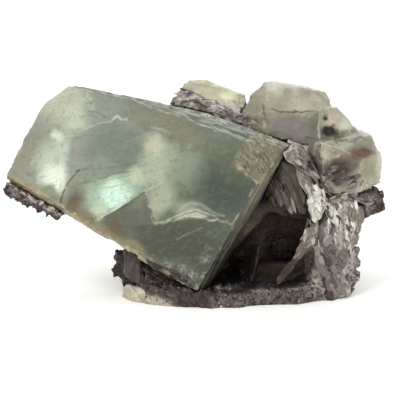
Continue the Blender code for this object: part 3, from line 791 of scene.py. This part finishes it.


# The finish of each: name, colours from dark to pale, how its streaks are turned and how wide they are,
# the colour of worn places, also painted on faces that look up as painted light, roughness, zones
pinkStops = [(0.3, (88, 79, 74)), (0.45, (128, 119, 111)), (0.58, (162, 153, 142)), (0.72, (202, 194, 181))]
stones = {
    "ridge_crystal": (
        "yellowGreenFluorite",
        [(0.3, (134, 130, 104)), (0.45, (172, 169, 140)), (0.6, (202, 200, 168)), (0.74, (232, 234, 204))],
        (0, 1.1, 0), 1.6, (218, 218, 194), 0.3, [
            ((-1.6, 0, 53), (4.4, 12, 4), 0.2, (150, 146, 122), 0.85),
            ((3.8, 0, 51.8), (2.6, 12, 2), 0.1, (206, 190, 162), 0.7),
            ((8.4, 0, 51), (3.4, 12, 2.4), 0.2, (238, 240, 200), 0.95),
            ((14, 0, 48.6), (4, 12, 3), 0.2, (168, 170, 146), 0.8),
            ((7.4, 0, 49.6), (0.9, 12, 0.7), 0.3, (56, 44, 34), 1),
        ],
    ),
    "cap_shard": ("pinkishQuartz", pinkStops, (0, 1, 0), 0.6, (226, 216, 200)),
    "splinter": ("streakyQuartz", pinkStops, (0, -0.4, 0), 0.35, (216, 206, 194)),
    "inner_crystal": (
        "darkGreenFluorite",
        [(0.3, (46, 43, 37)), (0.48, (70, 66, 57)), (0.62, (98, 93, 81)), (0.75, (136, 127, 115))],
        (0, -0.5, 0), 1, (122, 113, 98), 0.25,
    ),
    "icy_shard": (
        "icyCalcite",
        [(0.3, (128, 124, 112)), (0.44, (184, 182, 168)), (0.56, (222, 222, 208)), (0.7, (246, 246, 234))],
        (0, -0.3, 0), 0.5, (250, 250, 240), 0.3,
    ),
    "fang_blade": (
        "creamQuartz",
        [(0.3, (60, 52, 44)), (0.46, (102, 91, 78)), (0.6, (146, 134, 115)), (0.74, (192, 182, 160))],
        (0, 0.6, 0), 0.6, (176, 165, 144), 0.35, [
            # painted shadow over the blade's lower tip
            ((24.4, -14, 7.6), (5.4, 16, 7), 0.35, (64, 56, 48), 0.9),
        ],
    ),
    "thin_blade": (
        "darkBladeFluorite",
        [(0.3, (40, 34, 29)), (0.5, (58, 50, 44)), (0.7, (84, 75, 66))],
        (0, 0.1, 0), 0.8, (128, 117, 103),
    ),
    "quartz_seam": (
        "beigeSeam",
        [(0.32, (66, 55, 50)), (0.45, (140, 130, 118)), (0.58, (190, 182, 165)), (0.7, (228, 224, 208))],
        (0, -0.3, 0), 0.5, (226, 222, 208),
    ),
    "left_plate": (
        "footPlate",
        [(0.3, (52, 44, 42)), (0.48, (80, 71, 67)), (0.65, (116, 106, 99))],
        (0, 0.3, 0), 0.7, (150, 142, 124),
    ),
    "foot_quartz": (
        "paleFootQuartz",
        [(0.3, (132, 122, 104)), (0.46, (180, 170, 148)), (0.62, (210, 202, 178)), (0.74, (232, 228, 210))],
        (0, 0.8, 0), 0.8, (230, 224, 204),
    ),
}


# The vein rock and the sugary crystals that stand all over it

rock = {
    "voxel": 0.44, "crag": 0.6, "cragSize": 2.6, "crumb": 0.2, "crumbSize": 1.0,
    "rearCrag": 2.2, "rearCragSize": 6.5, "hollow": (20.0, -4.0, 14.0), "hollowReach": (12.0, 13.0, 13.0),
    "grains": 9000, "grainSizes": (0.28, 0.7), "seed": 5,
}
ledgeLeft = 4.0  # the dark ledge starts at this x
batchSize = 150  # how many small shapes are made in one go
# Where the rock is lighter or darker, partly its own tone and partly painted light and shade: centre, reach,
# by how much
rockToneAndShadeZones = [
    ((20, -5, 14), (13, 15, 12), -0.08),
    ((22, -6, 20), (8, 9, 7), 0.16),
    ((37.5, -12, 12), (12, 18, 18), 0.44),
    ((5, -2, 49), (16, 14, 8.5), 0.95),
    ((10, 16, 30), (30, 12, 30), 0.14),
    ((42, -10, 25), (10, 14, 6), 0.36),
    ((41, -8, 27.8), (8.5, 14, 2.4), -0.4),
    ((-10, -14, 4), (10, 12, 8), 0.1),
    ((-12, -16, 0), (9, 14, 2.6), 0.9),
]


def rockToneAndShade(places, normals):
    light = np.full(len(places), -0.02)
    for centre, reach, shift in rockToneAndShadeZones:
        light += shift * eased((1.0 - outward(places, centre, reach)) * 1.6)
    ledge = eased((6.6 - places[:, 2]) / 1.2) * (places[:, 0] > ledgeLeft)
    # painted shade on the ledge's top and painted light on its front
    light -= 0.34 * ledge * eased((normals[:, 2] - 0.4) / 0.35)
    light += 0.2 * ledge * eased((-normals[:, 1] - 0.3) / 0.35)
    return light + 0.08 * smooth(places, 3.0, 61) + 0.06 * smooth(places, 1.1, 62)


def rockShape():
    skin = fineSkin("matrix", rock["voxel"])
    places, normals = placesOf(skin)
    calm = eased(normals[:, 2] / 0.5 - 0.6) * (places[:, 2] < 7.0) * (places[:, 0] > ledgeLeft)
    hollow = outward(places, rock["hollow"], rock["hollowReach"])
    calm = np.maximum(calm, eased((1.1 - hollow) * 3.0))
    height = (crags(places, rock["cragSize"], 31) - 0.3) * rock["crag"] * (1 - 0.7 * calm)
    height += (crags(places, rock["crumbSize"], 32) - 0.3) * rock["crumb"] * (1 - 0.5 * calm)
    height += smooth(places, 0.8, 33) * 0.1
    behind = eased((places[:, 1] - 4.0) / 4.0)
    broken = (crags(places, rock["rearCragSize"], 35) - 0.35) * rock["rearCrag"]
    height += behind * (broken + smooth(places, 11.0, 36) * 0.8 - 0.2)
    grounded = np.clip(places[:, 2] / 0.8, 0, 1)
    push(skin, height * grounded)
    aboveFloor(skin)
    return skin, rockToneAndShade(places, normals)


def rockFinish():
    finish = Finish("veinRock", Specular_IOR_Level=0.4, IOR=1.5)
    place = finish.scaledPlace()
    clouds = finish.clouds(place, 6, 5)
    grit = finish.clouds(place, 0.45, 5, 0.7)
    grains = finish.cells(place, 0.55, output="Color")
    tone = finish.node("ShaderNodeSeparateColor", {}, {0: grains}, 0)
    streaks = finish.streaks(place, (0, -0.35, 0), (0.6, 0.8, 3.4), 5, 0.65)
    # the light mark brings the tone, on the vein rock with its painted light and shade
    mood = tone * 0.16 + clouds * 0.24 + grit * 0.24 + streaks * 0.36 + finish.mark("light")
    finish.paint = finish.shades(
        mood, (0.16, (26, 19, 17)), (0.4, (58, 49, 46)), (0.56, (86, 76, 73)),
        (0.72, (122, 112, 106)), (0.86, (154, 145, 137)), (1.0, (196, 188, 178)),
    )
    purple = finish.clouds(place, 4, 3).rise(0.5, 0.68)
    finish.lay(purple * 0.3, 110, 97, 103)
    hollow = finish.patch(place, (20, -5, 13), (13, 15, 12), 0.3)
    finish.cover(hollow * 0.85, finish.shades(
        streaks * 0.6 + clouds * 0.4, (0.34, (124, 107, 96)), (0.6, (186, 164, 146)),
    ))
    foot = finish.patch(place, (-11, -16, 0), (8, 14, 3.2), 0.4)
    finish.lay(foot * 0.8, 186, 176, 153)
    finish.feed("Base Color", finish.paint)
    finish.feed("Roughness", 0.62 - tone * 0.25)
    finish.bump(tone * 0.4 + grit * 0.3 + streaks * 0.3, 0.6, 0.3)
    return finish


def grainFinish():
    finish = Finish("sugaryGrains", Specular_IOR_Level=0.5, IOR=1.5)
    place = finish.scaledPlace()
    grit = finish.clouds(place, 0.35, 3)
    finish.paint = finish.shades(
        finish.mark("tone") * 0.85 + grit * 0.15,
        (0.05, (32, 24, 22)), (0.3, (66, 56, 53)), (0.5, (98, 87, 84)),
        (0.68, (132, 122, 116)), (0.84, (178, 170, 160)), (0.98, (232, 230, 220)),
    )
    finish.feed("Base Color", finish.paint)
    finish.feed("Roughness", 0.5 - finish.mark("tone") * 0.3)
    finish.bump(grit, 0.3, 0.1)
    return finish


def manyShapes(makeOne, count):
    # many small shapes in one skin, made a batch at a time, which is quicker, and a value for each corner
    whole = bmesh.new()
    values = []
    for first in range(0, count, batchSize):
        batch = bmesh.new()
        pairs = []
        for _ in range(min(batchSize, count - first)):
            pairs += makeOne(batch)
        batch.verts.index_update()
        values += [value for _, value in sorted(pairs, key=lambda pair: pair[0].index)]
        mesh = meshOf("batch", batch)
        whole.from_mesh(mesh)
        bpy.data.meshes.remove(mesh)
    aboveFloor(whole)
    return whole, values


def grainPiece(name, node, skin, look, choose, lights):
    # small crystals, each a cut cone turned its own way and half sunk in the surface
    dice = random.Random(look["seed"])
    skin.faces.ensure_lookup_table()
    faces = [face for face in skin.faces if face.calc_area() > 0]

    def makeGrain(batch):
        while True:
            face = dice.choice(faces)
            place = face.calc_center_median()
            odds = choose(place / mm, face.normal)
            if dice.random() < odds:
                break
        size = dice.uniform(*look["grainSizes"]) * (0.6 + 0.5 * odds) * mm
        turn = Matrix.Rotation(dice.uniform(0, math.tau), 4, "Z")
        turn @= Matrix.Rotation(dice.uniform(0, math.pi), 4, "X")
        shape = Matrix.Diagonal((1.0, dice.uniform(0.6, 1.0), dice.uniform(0.5, 1.3), 1.0))
        put = Matrix.Translation(place + face.normal * size * 0.02) @ turn @ shape
        made = bmesh.ops.create_cone(
            batch, cap_ends=True, segments=dice.choice((4, 5)), radius1=size * 0.6,
            radius2=size * 0.45, depth=size * 0.9, matrix=put,
        )
        tone = dice.random() ** 2.0 * 0.5 + 0.14
        # each grain takes the tone under it, on the vein rock with its painted light and shade
        tone += float(lights[face.verts[0].index]) * 0.75
        if dice.random() < 0.035:
            tone += 0.4
        return [(vert, min(max(tone, 0.0), 1.0)) for vert in made["verts"]]

    sown, tones = manyShapes(makeGrain, look["grains"])
    piece = finished(name, sown, node, grainFinish(), {"tone": tones}, replaces=False)
    piece.data.shade_flat()


def rockOdds(place, normal):
    # how likely a grain is to stand at a place on the rock
    if place.z < 0.2 or normal.z < -0.6:
        return 0.0
    ledge = place.x > ledgeLeft and place.z < 6.6
    if ledge and normal.z > 0.6:
        return 0.12
    hollow = 10 < place.x < 30 and place.y > -12 and place.z > 5.0 and place.y < 6
    if hollow:
        return 0.02
    column = 30 < place.x < 46 and 6.0 < place.z < 25 and place.y < 4
    if column:
        return 0.25
    return 1.0 if ledge or place.x > 40 else 0.5


# The sugary crust under the block's left end

crust = {"voxel": 0.24, "crag": 0.25, "cragSize": 1.2, "grains": 900, "grainSizes": (0.2, 0.42), "seed": 8}


def crustOdds(place, normal):
    return 0.2 if normal.z > 0.5 else 0.9


def crustShape():
    skin = fineSkin("tip_crust", crust["voxel"])
    places, _ = placesOf(skin)
    height = (crags(places, crust["cragSize"], 41) - 0.3) * crust["crag"]
    height += 0.3 * smooth(places, 1.6, 42) - 0.1
    toBlock = blockAxes.inverted()
    up = places @ np.array(toBlock.to_3x3())[2] + toBlock.translation.z
    rim = eased((up + 2.6) / 0.8) * np.clip(0.5 + 1.3 * smooth(places, 0.9, 64), 0.1, 1.0)
    push(skin, height)
    return skin, 0.3 * smooth(places, 1.3, 63) + 0.06 + 0.8 * rim


# Splinters: thin pointed crystals that have grown along one another. Start and end of each field and half
# its width, in the plane of the front view, the way the splinters point and how much that varies, in
# degrees, their lengths and widths, how many there are, and their tones
splinterFields = {
    "streaks": ((25.6, 12.6), (33.2, 2.1), 2.2, -55, 12, (2, 5.5), (0.5, 1.5), 64, (0.24, 0.7)),
    "icy": ((30.6, 3.9), (32.4, -1.8), 2.5, -65, 20, (1.8, 4.2), (0.6, 1.4), 40, (0.7, 1)),
    "seam": ((34.5, -4.6), (42.2, -4.9), 2.9, -80, 14, (2, 5.5), (0.4, 1.2), 190, (0.16, 1.45)),
    "seamLow": ((36.5, -7), (40.5, -14), 1.9, -62, 12, (1.5, 4.5), (0.5, 1.3), 50, (0.4, 0.85)),
    "column": ((34.2, -9), (37.6, -24), 3.4, -66, 18, (3, 7.5), (1.2, 3.6), 64, (0.26, 0.66)),
    "columnLight": ((33.2, -9), (37, -22), 2.2, -60, 12, (1.5, 5), (0.22, 0.6), 56, (0.66, 1.05)),
    "sideLow": ((34, 7), (41, 4.2), 2, 32, 14, (2, 5), (0.6, 1.6), 34, (0.18, 0.5)),
    "icyBits": ((41.4, 4.2), (46.4, 4), 1.3, 50, 50, (0.6, 1.8), (0.4, 0.9), 40, (0.6, 0.95)),
    "fangTop": ((31.4, -5.4), (28.8, -11.4), 1.5, -116, 12, (1.8, 4), (0.5, 1.2), 26, (0.55, 0.8)),
    "saddle": ((-4, 28.2), (15.4, 19.6), 1.6, -22, 14, (2, 5), (0.4, 1.1), 130, (0.36, 0.8)),
    "innerPlate": ((20.6, 4.4), (24.4, -2.6), 1.4, -62, 7, (3.5, 7), (0.7, 1.6), 18, (0.15, 0.42)),
    "foot": ((-13.2, -17.6), (-2, -22.2), 2.5, -28, 10, (2, 5.5), (0.4, 1), 56, (0.03, 0.3)),
    "band": ((36, 0.8), (45.6, 0.2), 1.2, -12, 20, (1.2, 3.2), (0.5, 1.2), 40, (0.36, 0.72)),
}


splinterSeed = 12
eyeDistance = 90  # how far outside the specimen the rays start that find the splinters' places


def wholeTree():
    whole = bmesh.new()
    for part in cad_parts.values():
        whole.from_mesh(part.data)
    tree = bvhtree.BVHTree.FromBMesh(whole)
    whole.free()
    return tree


def splinterPiece(name):
    # each one lies along the first surface that a ray from the front view meets
    dice = random.Random(splinterSeed)
    tree = wholeTree()
    tilt = math.radians(stage["elevation"])
    inwards = Vector((0, math.cos(tilt), -math.sin(tilt)))
    upwards = Vector((0, math.sin(tilt), math.cos(tilt)))
    queue = [field for field in splinterFields.values() for _ in range(field[7])]
    made = []

    def makeSplinter(batch):
        start, end, spread, slope, vary, lengths, widths, _, tones = queue[len(made)]
        hit = None
        while hit is None:
            share = dice.random()
            across = Vector((start[1] - end[1], end[0] - start[0])).normalized()
            across *= dice.uniform(-spread, spread)
            x, up = (a + (b - a) * share + shift for a, b, shift in zip(start, end, across))
            eye = Vector((x, 0, 0)) + upwards * up - inwards * eyeDistance
            eye += Vector((0, *stage["target"][1:]))
            hit, normal, _, _ = tree.ray_cast(eye * mm, inwards)
        angle = math.radians(slope + dice.gauss(0, vary))
        length = dice.uniform(*lengths)
        width = dice.uniform(*widths)
        along = Vector((math.cos(angle), 0, 0)) + upwards * math.sin(angle)
        along = (along - normal * along.dot(normal) * 0.8).normalized()
        along = (along + normal * dice.uniform(-0.2, 0.34)).normalized()
        out = (normal - along * normal.dot(along)).normalized()
        sideways = along.cross(out)
        turn = Matrix((sideways, out, along)).transposed().to_4x4()
        spin = Matrix.Rotation(dice.uniform(0, math.tau), 4, "Z")
        shape = Matrix.Diagonal((width, width * dice.uniform(0.35, 0.7), length, 1.0))
        put = Matrix.Translation(hit + normal * width * dice.uniform(-0.12, 0.06) * mm) @ turn @ shape @ spin
        verts = bmesh.ops.create_uvsphere(
            batch, u_segments=dice.choice((4, 5, 6)), v_segments=4, radius=0.5 * mm, matrix=put
        )["verts"]
        made.append(verts)
        tone = dice.uniform(*tones) + 0.2 * noise.noise(hit / (4.5 * mm))
        tone += 0.15 * noise.noise(hit / (1.4 * mm))
        number = len(made) * 3.7
        back = turn.inverted()
        pairs = []
        for vert in verts:
            vert.co += Vector([dice.uniform(-0.1, 0.1) for _ in range(3)]) * width * mm
            spot = back @ (vert.co - hit) / mm
            pairs.append((vert, (spot.x * 2.2 + number, spot.y * 2.2, spot.z * 0.5, tone)))
        return pairs

    sown, values = manyShapes(makeSplinter, len(queue))
    values = np.array(values)
    own = np.concatenate([values[:, :3], np.ones((len(values), 1))], axis=1)
    marks = {"own": own, "tone": values[:, 3]}
    piece = finished(name, sown, "matrix", splinterFinish(), marks, replaces=False)
    piece.data.shade_flat()


def splinterFinish():
    finish = Finish(
        "splinteryQuartz", Specular_IOR_Level=0.5, IOR=1.5, Subsurface_Weight=0.1,
        Subsurface_Scale=mm, Subsurface_Radius=(1.2, 1.1, 0.9),
    )
    place = finish.scaledPlace()
    streaks = finish.clouds(finish.colour("own"), 1, 4, 0.6)
    grit = finish.clouds(place, 0.4, 4, 0.7)
    mood = finish.mark("tone") + streaks * 0.36 + grit * 0.16 - 0.26
    finish.paint = finish.shades(
        mood, (0.02, (40, 32, 29)), (0.25, (82, 71, 66)), (0.45, (122, 112, 106)),
        (0.62, (156, 147, 139)), (0.78, (202, 196, 184)), (0.95, (246, 245, 234)),
    )
    finish.lay(finish.clouds(place, 2.4, 3).rise(0.5, 0.66) * 0.25, 118, 106, 110)
    finish.feed("Base Color", finish.paint)
    finish.feed("Roughness", 0.2 + grit * 0.2)
    finish.bump(streaks * 0.6 + grit * 0.4, 0.35, 0.2)
    return finish


# Making it all

print("scene: the block")
blockSkin, blockMarks = blockShape()
finished("fluoriteBlock", blockSkin, "main_crystal", blockFinish(), blockMarks)

print("scene: the crystals behind it and beside it")
crystalPiece("rear_crystals", rearFinish())
for node, look in stones.items():
    crystalPiece(node, stoneFinish(*look))

print("scene: the vein rock")
rockSkin, rockToneAndShadeValues = rockShape()
grainPiece("rockGrains", "matrix", rockSkin, rock, rockOdds, rockToneAndShadeValues)
finished("veinRockBody", rockSkin, "matrix", rockFinish(), {"light": rockToneAndShadeValues})

print("scene: the splinters")
splinterPiece("splinters")

print("scene: the crust under the block")
crustSkin, crustLit = crustShape()
grainPiece("crustGrains", "tip_crust", crustSkin, crust, crustOdds, crustLit)
finished("crustBody", crustSkin, "tip_crust", rockFinish(), {"light": crustLit})


# The stage: a white floor, soft light from above and the left, and the camera

def areaLight(name):
    place, size, power = stage[name]
    lamp = bpy.data.lights.new(name, "AREA")
    lamp.shape = "DISK"
    lamp.size = size * mm
    lamp.energy = power
    light = placed(name, lamp)
    light.location = Vector(place) * mm
    aim = Vector(stage["target"]) * mm - light.location
    light.rotation_euler = aim.to_track_quat("-Z", "Y").to_euler()


print("scene: the stage")
floorFinish = Finish("paleFloor", Roughness=0.9, Specular_IOR_Level=0.0, Emission_Strength=stage["floorGlow"])
floorPaint = floorFinish.ramp(
    floorFinish.clouds(floorFinish.place, 0.4, 2),
    (0.3, (0.93, 0.93, 0.9, 1.0)), (0.7, (0.96, 0.96, 0.935, 1.0)),
)
floorFinish.feed("Base Color", floorPaint)
floorFinish.feed("Emission Color", floorPaint)
floorSkin = bmesh.new()
bmesh.ops.create_grid(floorSkin, x_segments=1, y_segments=1, size=stage["floor"] * mm / 2)
floor = placed("floor", meshOf("floor", floorSkin))
floor.data.materials.append(floorFinish.material)

world = bpy.data.worlds.new("studio")
world.use_nodes = True
world.node_tree.nodes["Background"].inputs["Color"].default_value = (1.0, 1.0, 1.0, 1.0)
world.node_tree.nodes["Background"].inputs["Strength"].default_value = stage["world"]
bpy.context.scene.world = world
bpy.context.scene.view_settings.view_transform = "Standard"

areaLight("key")
areaLight("rim")

lens = bpy.data.cameras.new("camera")
lens.sensor_width = 36.0
lens.lens = lens.sensor_width * stage["distance"] / stage["viewWidth"]
camera = placed("camera", lens)
tilt = math.radians(stage["elevation"])
away = Vector((0, -math.cos(tilt), math.sin(tilt))) * stage["distance"]
camera.location = (Vector(stage["target"]) + away) * mm
camera.rotation_euler = (-away).to_track_quat("-Z", "Y").to_euler()
bpy.context.scene.camera = camera

print("scene: done")
